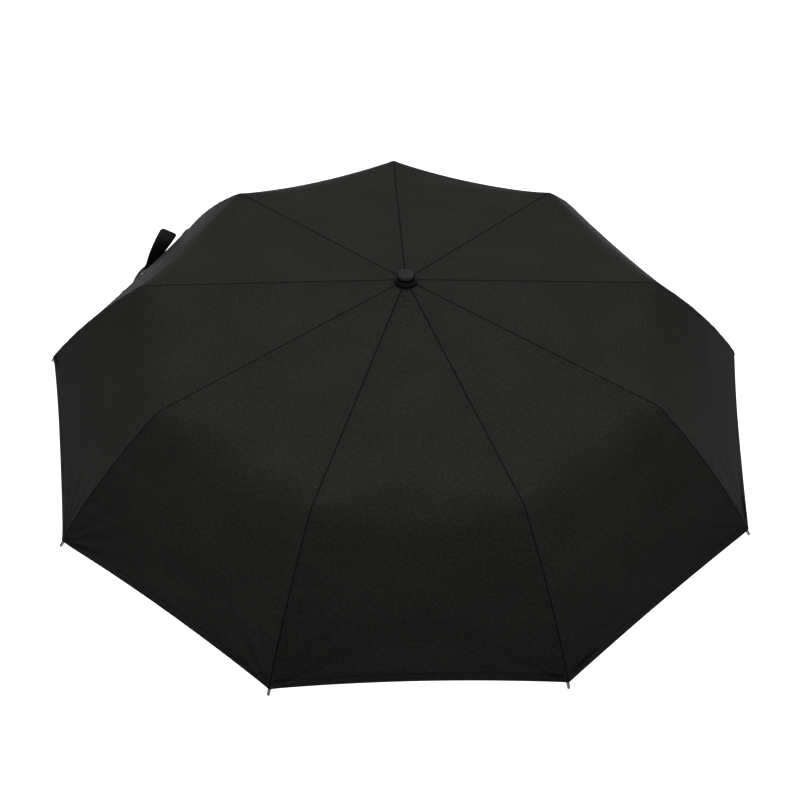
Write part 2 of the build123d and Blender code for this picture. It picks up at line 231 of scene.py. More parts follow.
def canopy_material():
    """Dark plain-woven cloth: mottled, darker at the seams and at the stitches of the hem."""
    nodes = Nodes("canopy_cloth")
    flat = nodes.uv("cut")
    x, y, _ = nodes.split(flat)
    seam, hem, _ = nodes.split(nodes.uv("edges"))
    mottle = nodes.noise(flat, 260.0, 4.0, 0.62)
    cloud = nodes.noise(flat, 9.0, 2.0, 0.5)
    threads = weave(nodes, x, y, 0.0011)
    woven = nodes.math("MULTIPLY", threads, 0.10)
    tone = nodes.math("ADD", nodes.ramp(mottle, 0.3, 0.7, 0.80, 1.20), woven)
    tone = nodes.math("MULTIPLY", tone, nodes.ramp(cloud, 0.3, 0.7, 0.93, 1.07))
    at_seam = nodes.ramp(seam, 0.0017, 0.0005)
    stitch = dashes(nodes, x, hem, 0.0075, 0.0007, 0.0032)
    for mark, depth in ((at_seam, 0.60), (stitch, 0.35)):
        shade = nodes.math("SUBTRACT", 1.0, nodes.math("MULTIPLY", mark, depth))
        tone = nodes.math("MULTIPLY", tone, shade)
    colour = nodes.add("ShaderNodeCombineColor")
    for socket, share in zip(colour.inputs, CLOTH_RGB):
        nodes.put(socket, nodes.math("MULTIPLY", tone, share))
    height = nodes.math("ADD", nodes.math("MULTIPLY", threads, 0.5), nodes.math("MULTIPLY", mottle, 0.8))
    height = nodes.math("ADD", height, nodes.math("MULTIPLY", stitch, 2.0))
    nodes.set(
        Base_Color=colour.outputs[0],
        Roughness=nodes.ramp(mottle, 0.3, 0.7, 0.44, 0.54),
        Specular_IOR_Level=0.004,
        Normal=nodes.bump(height, 0.00012, 0.8),
    )
    return nodes.material


def strap_material():
    """Ribbed black webbing with a row of stitches along each edge."""
    nodes = Nodes("strap_webbing")
    x, y, _ = nodes.split(nodes.uv("cut"))
    rib = nodes.math("SINE", nodes.math("MULTIPLY", y, 2 * math.pi / 0.0016))
    threads = weave(nodes, x, y, 0.0009)
    tone = nodes.math("ADD", 0.9, nodes.math("MULTIPLY", rib, 0.18))
    edge = dashes(nodes, y, nodes.math("ABSOLUTE", x), 0.0105, 0.0006, 0.0030)
    tone = nodes.math("ADD", tone, nodes.math("MULTIPLY", edge, 0.5))
    colour = nodes.add("ShaderNodeCombineColor")
    for socket, share in zip(colour.inputs, STRAP_RGB):
        nodes.put(socket, nodes.math("MULTIPLY", tone, share))
    height = nodes.math("ADD", nodes.math("MULTIPLY", rib, 0.6), nodes.math("MULTIPLY", threads, 0.4))
    nodes.set(
        Base_Color=colour.outputs[0],
        Roughness=0.8,
        Specular_IOR_Level=0.10,
        Normal=nodes.bump(height, 0.0002, 0.8),
    )
    return nodes.material


def moulded(name, value, rough, grain, warm=0.0, coat=0.0, shine=0.5):
    """Moulded plastic or rubber: fine grain, a few rubbed patches."""
    nodes = Nodes(name)
    place = nodes.object_place()
    fine = nodes.noise(place, 1400.0, 3.0, 0.6)
    patches = nodes.noise(place, 45.0, 3.0, 0.6)
    lighter = nodes.ramp(patches, 0.35, 0.75)
    nodes.set(
        Base_Color=nodes.mix(lighter, grey(value, warm), grey(value * 1.35, warm)),
        Roughness=nodes.ramp(patches, 0.3, 0.7, rough * 0.88, min(1.0, rough * 1.15)),
        Specular_IOR_Level=shine,
        Coat_Weight=coat,
        Coat_Roughness=0.12,
        Normal=nodes.bump(fine, grain, 0.5),
    )
    return nodes.material


BARE_METAL = 0.45


def coated_metal(name, value, rough, wear=0.35):
    """Coated steel, rubbed bare in thin lengthwise scratches."""
    nodes = Nodes(name)
    place = nodes.object_place()
    stretch = nodes.add("ShaderNodeMapping")
    nodes.link(place, stretch.inputs[0])
    stretch.inputs["Scale"].default_value = (1.0, 1.0, 0.08)
    scratch = nodes.noise(stretch.outputs[0], 900.0, 4.0, 0.7)
    rubbed = nodes.ramp(scratch, 0.66, 0.80, 0.0, wear)
    nodes.set(
        Base_Color=nodes.mix(rubbed, grey(value), grey(BARE_METAL, 0.01)),
        Metallic=nodes.ramp(rubbed, 0.0, 1.0, 0.35, 1.0),
        Roughness=nodes.ramp(scratch, 0.3, 0.8, rough, rough * 0.7),
        Normal=nodes.bump(scratch, 0.00004, 0.4),
    )
    return nodes.material


def bright_metal(name, value, rough):
    """Bare drawn steel with a fine grain."""
    nodes = Nodes(name)
    place = nodes.object_place()
    drawn = nodes.noise(place, 1800.0, 3.0, 0.6)
    nodes.set(
        Base_Color=nodes.mix(nodes.ramp(drawn, 0.3, 0.7), grey(value * 0.85), grey(value, 0.01)),
        Metallic=1.0,
        Roughness=nodes.ramp(drawn, 0.3, 0.7, rough * 0.8, rough * 1.3),
        Normal=nodes.bump(drawn, 0.00003, 0.4),
    )
    return nodes.material


def cord_material():
    """Black sewing thread."""
    nodes = Nodes("tie_thread")
    twist = nodes.noise(nodes.object_place(), 2200.0, 2.0)
    nodes.set(
        Base_Color=nodes.mix(twist, grey(0.004), grey(0.009)),
        Roughness=0.9,
        Specular_IOR_Level=0.05,
        Normal=nodes.bump(twist, 0.0001, 0.6),
    )
    return nodes.material


def rod_material(limit):
    """Glass-fibre rod with a plated tip below that height."""
    nodes = Nodes("glass_fibre_rod")
    place = nodes.object_place()
    _, _, z = nodes.split(place)
    tip = nodes.ramp(z, limit + 0.0004, limit - 0.0004)
    fibre = nodes.noise(place, 1600.0, 3.0, 0.6)
    body = nodes.mix(nodes.ramp(fibre, 0.3, 0.7), grey(0.016), grey(0.030))
    nodes.set(
        Base_Color=nodes.mix(tip, body, grey(0.28)),
        Metallic=nodes.math("MULTIPLY", tip, 0.9),
        Roughness=nodes.ramp(fibre, 0.3, 0.7, 0.30, 0.42),
        Normal=nodes.bump(fibre, 0.00003, 0.5),
    )
    return nodes.material


CLOTH = canopy_material()
STRAP = strap_material()
THREAD = cord_material()
SATIN = moulded("black_moulding", 0.020, 0.42, 0.00003)
GLOSS = moulded("black_gloss", 0.0035, 0.22, 0.00001, shine=0.12)
SOFT = moulded("soft_touch", 0.016, 0.62, 0.00008)
CAP_GREY = moulded("cap_grey", 0.0052, 0.5, 0.00004, shine=0.06)
BUTTON = moulded("button_grey", 0.075, 0.28, 0.00002, coat=0.3)
BUSH = moulded("white_bush", 0.60, 0.40, 0.00002, warm=0.02)
COATED = coated_metal("coated_channel", 0.045, 0.40)
TUBE = coated_metal("coated_tube", 0.030, 0.30, wear=0.25)
WIRE = bright_metal("drawn_wire", 0.55, 0.28)
PLATED_HEIGHT = 0.0095  # of the tip of an outer rib, from its lowest point
ROD = rod_material(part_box("outer_rib_1")[0][2] + PLATED_HEIGHT)

FINISHES = {
    "cap_top": CAP_GREY, "cap_flange": GLOSS, "crown_hub": SATIN, "crown_wire": WIRE, "runner": SATIN,
    "upper_tube": TUBE, "middle_tube": TUBE, "lower_tube": TUBE, "upper_end_bush": SATIN,
    "middle_end_bush": SATIN, "middle_guide_ring": BUSH, "lower_guide_ring": BUSH, "shaft_socket": SATIN,
    "handle_body": SOFT, "handle_end_cap": GLOSS, "lanyard_bar": WIRE, "push_button": BUTTON,
    "button_spring": WIRE,
}
for k in range(1, RIBS + 1):
    FINISHES.update({f"{member}_{k}": COATED for member in ("top_rib", "stretcher", "middle_rib")})
    FINISHES[f"outer_rib_{k}"] = ROD
for node, finish in FINISHES.items():
    for holder in frame["nodes"][node].material_slots:
        holder.material = finish


# ---- the canopy's surface ----
def azimuth(rib):
    return RIB_1 + STEP * (rib - 1)


def polar(angle):
    return np.array([math.cos(angle), math.sin(angle), 0.0])


V_KNEE = KNEE_R / math.cos(SLOPE)
V_JOINT_0 = reach("canopy_fold")[0] / math.cos(SLOPE)
V_JOINT_1 = JOINT_1_R / math.cos(SLOPE)
KNEE = np.array([KNEE_R, -KNEE_R * math.tan(SLOPE)])
CHORD = np.array(TIP) - KNEE
CHORD_LENGTH = float(np.hypot(*CHORD))
OUT = np.array([-CHORD[1], CHORD[0]]) / CHORD_LENGTH
V_HEM = V_KNEE + CHORD_LENGTH

# one value for each gore
HEM_SCALLOP = (0.0035, 0.0035, 0.0035, 0.0040, 0.0050, 0.0010, 0.0010, 0.0030, 0.0035)
CORNER_PULL = (0.0005, 0.0006, 0.0007, 0.0009, 0.0004, 0.0005, 0.0005, 0.0006, 0.0005)
CROWN_PLEATS = (0.00015, 0.0002, 0.0003, 0.0005, 0.0013, 0.0003, 0.0002, 0.0002, 0.00015)

KNEE_ROUND = (0.007, 0.040)  # at a rib, and half way between two
# sag between two ribs, at those distances along the cloth
SAG_AT = [0.0, 0.10, 0.20, 0.30, V_KNEE, V_KNEE + 0.08, V_HEM]
SAG = [0.0, 0.0010, 0.0025, 0.0045, 0.0055, 0.0050, 0.0020]
UP = np.array([0.0, 0.0, 1.0])


def profile(v):
    """(distance from the shaft, height from the apex) along a rib, v metres from the apex,
    with a sharp knee."""
    v = np.asarray(v, float)
    t = np.clip((v - V_KNEE) / CHORD_LENGTH, 0, None)
    inner = np.stack([v * math.cos(SLOPE), -v * math.sin(SLOPE)], -1)
    outer = KNEE + t[..., None] * CHORD + (4 * BULGE * t * (1 - t))[..., None] * OUT
    return np.where((v < V_KNEE)[..., None], inner, outer)


def soft_profile(v, rounding):
    """The profile with its knee rounded over that length on each side."""
    v, w = np.broadcast_arrays(np.asarray(v, float), np.asarray(rounding, float))
    small = 1e-5
    start, end = profile(V_KNEE - w), profile(V_KNEE + w)
    leave = (profile(V_KNEE - w) - profile(V_KNEE - w - small)) / small
    arrive = (profile(V_KNEE + w + small) - profile(V_KNEE + w)) / small
    t = np.clip((v - V_KNEE + w) / (2 * w), 0, 1)[..., None]
    pull = (2 * w / 3)[..., None]
    a, b, c, d = start, start + leave * pull, end - arrive * pull, end
    bend = a * (1 - t) ** 3 + 3 * b * t * (1 - t) ** 2 + 3 * c * t**2 * (1 - t) + d * t**3
    return np.where((np.abs(v - V_KNEE) < w)[..., None], bend, profile(v))


def ripples(gore, s, v, width, seed):
    """Small uneven heights of one gore's cloth: s runs from -1 at one rib to 1 at the next."""
    free = 1 - s**2
    height = np.zeros_like(v)
    for _ in range(7):
        turns, cross, shift = seed.uniform(6, 22), seed.uniform(-4, 4), seed.uniform(0, 6.3)
        height += 0.00015 * np.sin(turns * v / 0.18 + cross * s + shift) * free
    distance = (1 - np.abs(s)) * width
    corner = np.hypot(distance, V_HEM - v)
    angle = np.arctan2(distance, np.maximum(V_HEM - v, 1e-6))
    for hand in (-1, 1):
        shift = seed.uniform(0, 6.3)
        rays = np.sin(angle * seed.uniform(13, 17) + shift) * np.exp(-((corner / 0.075) ** 2))
        rays *= np.clip(distance / 0.012, 0, 1) * np.clip(corner / 0.02, 0, 1)
        height += np.where(s * hand > 0, CORNER_PULL[gore - 1] * rays, 0)
        shift = seed.uniform(0, 6.3)
        pucker = np.sin(2 * math.pi * v / 0.021 + shift)
        pucker = pucker + 0.6 * np.sin(2 * math.pi * v / 0.034 + shift * 2)
        fade = np.exp(-distance / 0.018) * np.clip(distance / 0.004, 0, 1)
        height += np.where(s * hand > 0, 0.00030 * pucker * fade, 0)
    crown = np.exp(-(((v - 0.034) / 0.013) ** 2)) * np.exp(-(((s + 0.25) / 0.6) ** 2))
    pleats = np.sin(2 * math.pi * v / 0.0082 + 0.9 * np.cos(3 * s))
    height += CROWN_PLEATS[gore - 1] * pleats * crown * free
    return height


def seam_relief(distance):
    """The sewn seam along a rib: a narrow valley between two low ridges."""
    valley = -0.0004 * np.exp(-((distance / 0.0008) ** 2))
    ridge = 0.0003 * np.exp(-(((distance - 0.0026) / 0.0014) ** 2))
    return valley + ridge


def gore_surface(gore, s, v, seed):
    """Points of one gore, with the sag, the scalloped hem and the ripples, and the cloth's own flat
    coordinates."""
    u = 1 - np.abs(s)
    bow = u * (2 - u)
    shrink = np.where(v > V_KNEE, 1 - HEM_SCALLOP[gore - 1] * bow / CHORD_LENGTH, 1)
    drawn = np.where(v > V_KNEE, V_KNEE + (v - V_KNEE) * shrink, v)
    rounding = KNEE_ROUND[0] + (KNEE_ROUND[1] - KNEE_ROUND[0]) * bow
    point = soft_profile(drawn, rounding)
    ahead = soft_profile(drawn + 0.0005, rounding)
    run = ahead - point
    run /= np.linalg.norm(run, axis=-1, keepdims=True)
    low, middle, high = (polar(azimuth(gore) + HALF * n) for n in (0, 1, 2))
    near = np.where((s < 0)[..., None], low, high)
    flat = near * (1 - u)[..., None] + middle * math.cos(HALF) * u[..., None]
    heading = flat / np.linalg.norm(flat, axis=-1, keepdims=True)
    outward = -run[..., 1:2] * heading + run[..., 0:1] * UP
    width = point[..., 0] * math.sin(HALF)
    distance = u * width
    relief = seam_relief(distance) + ripples(gore, s, v, width, seed)
    relief -= np.interp(v, SAG_AT, SAG) * bow
    hem_seam = np.exp(-(((V_HEM - v - 0.0075) / 0.0010) ** 2))
    relief -= 0.00035 * hem_seam * np.clip(distance / 0.006, 0, 1)
    place = point[..., 0:1] * flat + (APEX + point[..., 1:2]) * UP + outward * relief[..., None]
    cut = np.stack([s * width, v], -1)
    edges = np.stack([distance, V_HEM - v], -1)
    return place, cut, edges


COLUMNS = 22
half_columns = (np.arange(COLUMNS + 1) / COLUMNS) ** 1.8
S_VALUES = np.concatenate([-1 + half_columns, 1 - half_columns[::-1][1:]])


def rows_between(start, end, pitch):
    return np.linspace(start, end, max(2, int(round((end - start) / pitch)) + 1))


# the rows are closer at the crown and at the hem, and a row lies on every joint
FINE, PLAIN, HEM_FINE = 0.0018, 0.0040, 0.0010
V_FINE_END, V_HEM_FINE = 0.060, V_HEM - 0.016
V_HOLE = HOLE_R / math.cos(SLOPE)
ROWS_CROWN = rows_between(V_HOLE, V_JOINT_0, FINE)
ROWS_INNER = np.concatenate(
    [rows_between(V_JOINT_0, V_FINE_END, FINE), rows_between(V_FINE_END, V_JOINT_1, PLAIN)[1:]]
)
ROWS_MIDDLE = rows_between(V_JOINT_1, V_KNEE, PLAIN)
ROWS_OUTER = np.concatenate(
    [rows_between(V_KNEE, V_HEM_FINE, PLAIN), rows_between(V_HEM_FINE, V_HEM, HEM_FINE)[1:]]
)
V_VALUES = np.concatenate([ROWS_CROWN, ROWS_INNER[1:], ROWS_MIDDLE[1:], ROWS_OUTER[1:]])
ROW_0 = len(ROWS_CROWN) - 1
ROW_1 = ROW_0 + len(ROWS_INNER) - 1
ROW_2 = ROW_1 + len(ROWS_MIDDLE) - 1
ROW_3 = len(V_VALUES) - 1


def make_gores():
    """Every gore's points, flat coordinates and normals; the normals agree where gores meet."""
    seeds = np.random.SeedSequence(41).spawn(RIBS)
    gores = []
    for gore in range(1, RIBS + 1):
        s, v = np.meshgrid(S_VALUES, V_VALUES)
        gores.append(gore_surface(gore, s, v, np.random.default_rng(seeds[gore - 1])))
    normals = []
    for place, _, _ in gores:
        across = place[:, 1:] - place[:, :-1]
        along = place[1:] - place[:-1]
        face = np.cross(along[:, :-1], across[:-1])
        total = np.zeros_like(place)
        for rows in (slice(None, -1), slice(1, None)):
            for columns in (slice(None, -1), slice(1, None)):
                total[rows, columns] += face
        normals.append(total)
    for index in range(RIBS):
        shared = normals[index][:, -1] + normals[(index + 1) % RIBS][:, 0]
        normals[index][:, -1] = shared
        normals[(index + 1) % RIBS][:, 0] = shared
    normals = [n / np.linalg.norm(n, axis=-1, keepdims=True) for n in normals]
    if normals[0][10, 10, 2] < 0:
        normals = [-n for n in normals]
    return gores, normals


GORES, NORMALS = make_gores()


def grid_mesh(name, place, normal, layers, material):
    """Mesh of a grid of points; layers holds a flat coordinate for each face corner, or for each point."""
    rows, columns = place.shape[:2]
    index = np.arange(rows * columns).reshape(rows, columns)
    faces = np.stack([index[:-1, :-1], index[1:, :-1], index[1:, 1:], index[:-1, 1:]], -1).reshape(-1, 4)
    a, b, c = (place.reshape(-1, 3)[faces[:, n]] for n in range(3))
    sign = (np.cross(b - a, c - a) * normal.reshape(-1, 3)[faces[:, 0]]).sum()
    if sign < 0:
        faces = faces[:, ::-1]
    mesh = bpy.data.meshes.new(name)
    mesh.from_pydata(place.reshape(-1, 3).tolist(), [], faces.tolist())
    for layer, (left, right, seam_column) in layers.items():
        uv = mesh.uv_layers.new(name=layer)
        column_of_face = np.tile(np.arange(columns - 1), rows - 1)
        use_right = (column_of_face >= seam_column)[:, None]
        values = np.where(use_right[..., None], right.reshape(-1, 2)[faces], left.reshape(-1, 2)[faces])
        uv.data.foreach_set("uv", values.reshape(-1).astype(np.float32))
    mesh.polygons.foreach_set("use_smooth", [True] * len(faces))
    mesh.normals_split_custom_set_from_vertices(normal.reshape(-1, 3).tolist())
    mesh.materials.append(material)
    mesh.update()
    return place_piece(name, mesh)


HEM_WIDTH = 0.009
# path of the folded edge: distance past the last row, and depth below the cloth
HEM_FOLD = (
    (0.0007, 0.0004), (0.0004, 0.0011), (-0.0030, 0.0013),
    (-0.0070, 0.0012), (-0.0084, 0.0007), (-HEM_WIDTH, 0.0002),
)


def with_hem(place, normal, cut, edges):
    """Adds the folded hem below the last row."""
    run = place[-1] - place[-2]
    run /= np.linalg.norm(run, axis=-1, keepdims=True)
    face = normal[-1]
    points, faces_out, cuts, borders = [place], [normal], [cut], [edges]
    for out, below in HEM_FOLD:
        points.append((place[-1] + run * out - face * below)[None])
        faces_out.append((run * 0.9 - face * 0.45 if out > 0 else -face)[None])
        cuts.append((cut[-1] + np.array([0.0, 0.0015 - out]))[None])
        borders.append((edges[-1] + np.array([0.0, max(0.0, -out)]))[None])
    merged = [np.concatenate(group) for group in (points, faces_out, cuts, borders)]
    merged[1] /= np.linalg.norm(merged[1], axis=-1, keepdims=True)
    return merged


def rib_half(rib, hand, low, high):
    """The half gore beside a rib: hand -1 is the gore before it, 1 the gore after.
    Columns run away from the rib for 1, towards it for -1."""
    gore = rib - 1 if hand > 0 else (rib - 2) % RIBS
    columns = slice(0, COLUMNS + 1) if hand > 0 else slice(COLUMNS, None)
    rows = slice(low, high + 1)
    place, cut, edges = (layer[rows, columns] for layer in GORES[gore])
    return place, NORMALS[gore][rows, columns], cut, edges


def cloth_cut(low, high, halves, hem=0.0):
    """(width, length) and area of the cloth cut for that many half gores between two rows."""
    v = V_VALUES[low : high + 1]
    half = profile(v)[:, 0] * math.sin(HALF)
    width, length = float(half.max()) * halves, float(v[-1] - v[0]) + hem
    area = float(((half[1:] + half[:-1]) / 2 * np.diff(v)).sum()) * halves + width * hem
    return (width, length), area


def fold_axis(rib, hand=0):
    """Direction in which a piece of cloth gathers to its rib: straight across, or along the slope
    of its half gore."""
    tangent = Vector((-math.sin(azimuth(rib)), math.cos(azimuth(rib)), 0.0))
    if hand == 0:
        return tangent
    heading = Vector(polar(azimuth(rib)))
    chord = heading * CHORD[0] + Vector((0, 0, CHORD[1]))
    to_middle = Vector(polar(azimuth(rib) + hand * HALF)) * math.cos(HALF) - heading
    to_middle -= chord * (to_middle.dot(chord) / chord.length_squared)
    return to_middle.normalized()


def make_canopy():
    """Cloth beside each rib, cut at the rib's joints: inner, middle, and an outer piece on each side."""
    for rib in range(1, RIBS + 1):
        for zone, body, low, high in (
            ("inner", f"top_rib_{rib}", ROW_0, ROW_1),
            ("middle", f"middle_rib_{rib}", ROW_1, ROW_2),
        ):
            before = rib_half(rib, -1, low, high)
            after = rib_half(rib, 1, low, high)
            place, normal = (np.concatenate([before[n], after[n][:, 1:]], 1) for n in (0, 1))
            layers = {}
            for layer, n in (("cut", 2), ("edges", 3)):
                left = np.concatenate([before[n], after[n][:, 1:]], 1)
                right = np.concatenate([before[n][:, :-1], after[n]], 1)
                layers[layer] = (left, right, COLUMNS)
            piece = grid_mesh(f"canopy_{rib}_{zone}", place, normal, layers, CLOTH)
            finish_cloth(piece, body, fold_axis(rib))
        for side, hand in (("a", -1), ("b", 1)):
            place, normal, cut, edges = with_hem(*rib_half(rib, hand, ROW_2, ROW_3))
            layers = {"cut": (cut, cut, 0), "edges": (edges, edges, 0)}
            piece = grid_mesh(f"canopy_{rib}_outer_{side}", place, normal, layers, CLOTH)
            cut = cloth_cut(ROW_2, ROW_3, 1, HEM_WIDTH)
            finish_cloth(piece, f"outer_rib_{rib}", fold_axis(rib, hand))


def make_crown():
    """Cloth inside the rib hinges, which the cap holds flat: one ring through all nine gores."""
    rows = slice(0, ROW_0 + 1)

    def ring(sheets):
        return np.concatenate([sheet[rows, :-1] for sheet in sheets] + [sheets[0][rows, :1]], 1)

    place, cut, edges = (ring([gore[layer] for gore in GORES]) for layer in range(3))
    layers = {"cut": (cut, cut, 0), "edges": (edges, edges, 0)}
    piece = grid_mesh("canopy_crown", place, ring(NORMALS), layers, CLOTH)
    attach(piece, "upper_shaft")
    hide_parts("canopy")


def finish_cloth(piece, body, axis):
    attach(piece, body)
    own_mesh(piece)
    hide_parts("canopy")


make_canopy()
make_crown()


# ---- small sewn and wire parts ----
def tube_mesh(name, path, radius, material):
    """Round thread or wire through the points."""
    curve = bpy.data.curves.new(name, "CURVE")
    curve.dimensions = "3D"
    spline = curve.splines.new("POLY")
    spline.points.add(len(path) - 1)
    for point, place in zip(spline.points, path):
        point.co = (*place, 1.0)
    curve.bevel_depth = radius
    curve.bevel_resolution = 2
    curve.use_fill_caps = True
    holder = bpy.data.objects.new(name, curve)
    mesh = bpy.data.meshes.new_from_object(holder)
    bpy.data.objects.remove(holder)
    mesh.materials.clear()
    mesh.materials.append(material)
    mesh.polygons.foreach_set("use_smooth", [True] * len(mesh.polygons))
    return place_piece(name, mesh)


def join(name, parts):
    """One piece from several meshes with the same material."""
    points, faces, start = [], [], 0
    for part in parts:
        points += [tuple(vertex.co) for vertex in part.data.vertices]
        faces += [[start + i for i in polygon.vertices] for polygon in part.data.polygons]
        start = len(points)
        material = part.data.materials[0]
        bpy.data.objects.remove(part)
    mesh = bpy.data.meshes.new(name)
    mesh.from_pydata(points, [], faces)
    mesh.materials.append(material)
    mesh.polygons.foreach_set("use_smooth", [True] * len(faces))
    return place_piece(name, mesh)


def rib_point(rib, r, z, side=0.0):
    """Point in a rib's plane, or beside it."""
    tangent = Vector((-math.sin(azimuth(rib)), math.cos(azimuth(rib)), 0.0))
    return Vector(polar(azimuth(rib))) * r + Vector((0, 0, APEX + z)) + tangent * side


THREAD_TURNS, THREAD_PITCH, POINTS_A_TURN = 5, 0.0011, 14
THREAD_RADIUS, WIRE_RADIUS = 0.00035, 0.00045


def thread_loops(rib, centre, along, half_width, half_height):
    """Thread wound round a rib, through the cloth above it."""
    up = Vector((-along[1], along[0]))
    path = []
    for step in range(THREAD_TURNS * POINTS_A_TURN + 1):
        angle = 2 * math.pi * step / POINTS_A_TURN
        slide = (step / POINTS_A_TURN - THREAD_TURNS / 2) * THREAD_PITCH
        lift = half_height * math.cos(angle)
        r = centre[0] + along[0] * slide + up[0] * lift
        z = centre[1] + along[1] * slide + up[1] * lift
        path.append(rib_point(rib, r, z, half_width * math.sin(angle)))
    return tube_mesh("loop", path, THREAD_RADIUS, THREAD)


def inner_ties(rib):
    """Two ties on the top rib, at those distances from the shaft."""
    down_slope = math.radians(-9.4)
    along = (math.cos(down_slope), math.sin(down_slope))
    parts = []
    for r, half_height in ((0.060, 0.0038), (0.150, 0.0046)):
        fabric = float(profile(r / math.cos(SLOPE))[1])
        parts.append(thread_loops(rib, (r, fabric - half_height), along, 0.0027, half_height))
    return join(f"tie_inner_{rib}", parts)


def outer_ties(rib):
    """Two ties on the outer rib, at those shares of its length."""
    parts = []
    for share, half_height in ((0.35, 0.0030), (0.68, 0.0028)):
        point = profile(V_KNEE + CHORD_LENGTH * share)
        ahead = profile(V_KNEE + CHORD_LENGTH * share + 0.001)
        run = (ahead - point) / np.linalg.norm(ahead - point)
        centre = point - np.array([-run[1], run[0]]) * half_height
        parts.append(thread_loops(rib, tuple(centre), tuple(run), 0.0022, half_height))
    return join(f"tie_outer_{rib}", parts)


def return_wire(rib):
    """Wire beside the middle rib, hooked in near both its joints, with a slight droop."""
    (r_1, z_1), (r_2, z_2) = reach("middle_rib_1_hinge"), reach("outer_rib_1_hinge")
    z_1, z_2 = z_1 - APEX - 0.0062, z_2 - APEX - 0.0030
    side = 0.0031
    path = [rib_point(rib, r_1 + 0.014, z_1 + 0.0015, side * 0.4), rib_point(rib, r_1 + 0.018, z_1, side)]
    for share in np.linspace(0.08, 0.92, 12):
        droop = -0.0035 * math.sin(math.pi * share)
        r = r_1 + 0.018 + (r_2 - r_1 - 0.030) * share
        path.append(rib_point(rib, r, z_1 + (z_2 - z_1) * share + droop, side))
    path.append(rib_point(rib, r_2 - 0.012, z_2, side))
    path.append(rib_point(rib, r_2 - 0.007, z_2 + 0.001, side * 0.6))
    return tube_mesh(f"spring_wire_{rib}", path, WIRE_RADIUS, WIRE)


for rib in range(1, RIBS + 1):
    for piece, body, slot in (
        (inner_ties(rib), f"top_rib_{rib}", "strap_webbing"),
        (outer_ties(rib), f"outer_rib_{rib}", "strap_webbing"),
        (return_wire(rib), f"middle_rib_{rib}", "bright_wire"),
    ):
        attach(piece, body)


# ---- closing strap ----
def ribbon(name, centres, widths, thickness, material):
    """Closed band through the centres, each with its own half-width vector."""
    centres, widths = np.array(centres, float), np.array(widths, float)
    run = np.gradient(centres, axis=0)
    face = np.cross(run, widths)
    face /= np.linalg.norm(face, axis=1, keepdims=True)
    length = np.concatenate([[0], np.cumsum(np.linalg.norm(np.diff(centres, axis=0), axis=1))])
    upper = ((-1, 0.25), (-0.96, 0.5), (-0.5, 0.42), (0, 0.4), (0.5, 0.42), (0.96, 0.5), (1, 0.25))
    ring = upper + tuple((across, -lift) for across, lift in reversed(upper))
    points, uvs = [], []
    for centre, half, out, v in zip(centres, widths, face, length):
        for across, lift in ring:
            points.append(centre + half * across + out * lift * thickness)
            uvs.append((across * float(np.linalg.norm(half)), v))
    n, m = len(centres), len(ring)
    faces = []
    for i in range(n - 1):
        for j in range(m):
            faces.append((i * m + j, (i + 1) * m + j, (i + 1) * m + (j + 1) % m, i * m + (j + 1) % m))
    faces.append(tuple(range(m)))
    faces.append(tuple((n - 1) * m + j for j in reversed(range(m))))
    mesh = bpy.data.meshes.new(name)
    mesh.from_pydata([tuple(p) for p in points], [], faces)
    uv = mesh.uv_layers.new(name="cut")
    for loop in mesh.loops:
        uv.data[loop.index].uv = uvs[loop.vertex_index]
    mesh.materials.append(material)
    mesh.polygons.foreach_set("use_smooth", [True] * len(faces))
    mesh.update()
    return place_piece(name, mesh)


def smooth_line(points, count):
    """Catmull-Rom curve through the points."""
    points = np.array(points, float)
    padded = np.concatenate([[2 * points[0] - points[1]], points, [2 * points[-1] - points[-2]]])
    out = []
    for t in np.linspace(0, len(points) - 1, count):
        i = min(int(t), len(points) - 2)
        f = t - i
        p0, p1, p2, p3 = padded[i : i + 4]
        square, cube = 2 * p0 - 5 * p1 + 4 * p2 - p3, 3 * p1 - p0 - 3 * p2 + p3
        out.append(0.5 * (2 * p1 + (p2 - p0) * f + square * f**2 + cube * f**3))
    return np.array(out)


STRAP_END_ROUND = 0.0045
STRAP_THICKNESS = 0.0013
STRAP_POINTS = 72
SNAP_POINT = 60


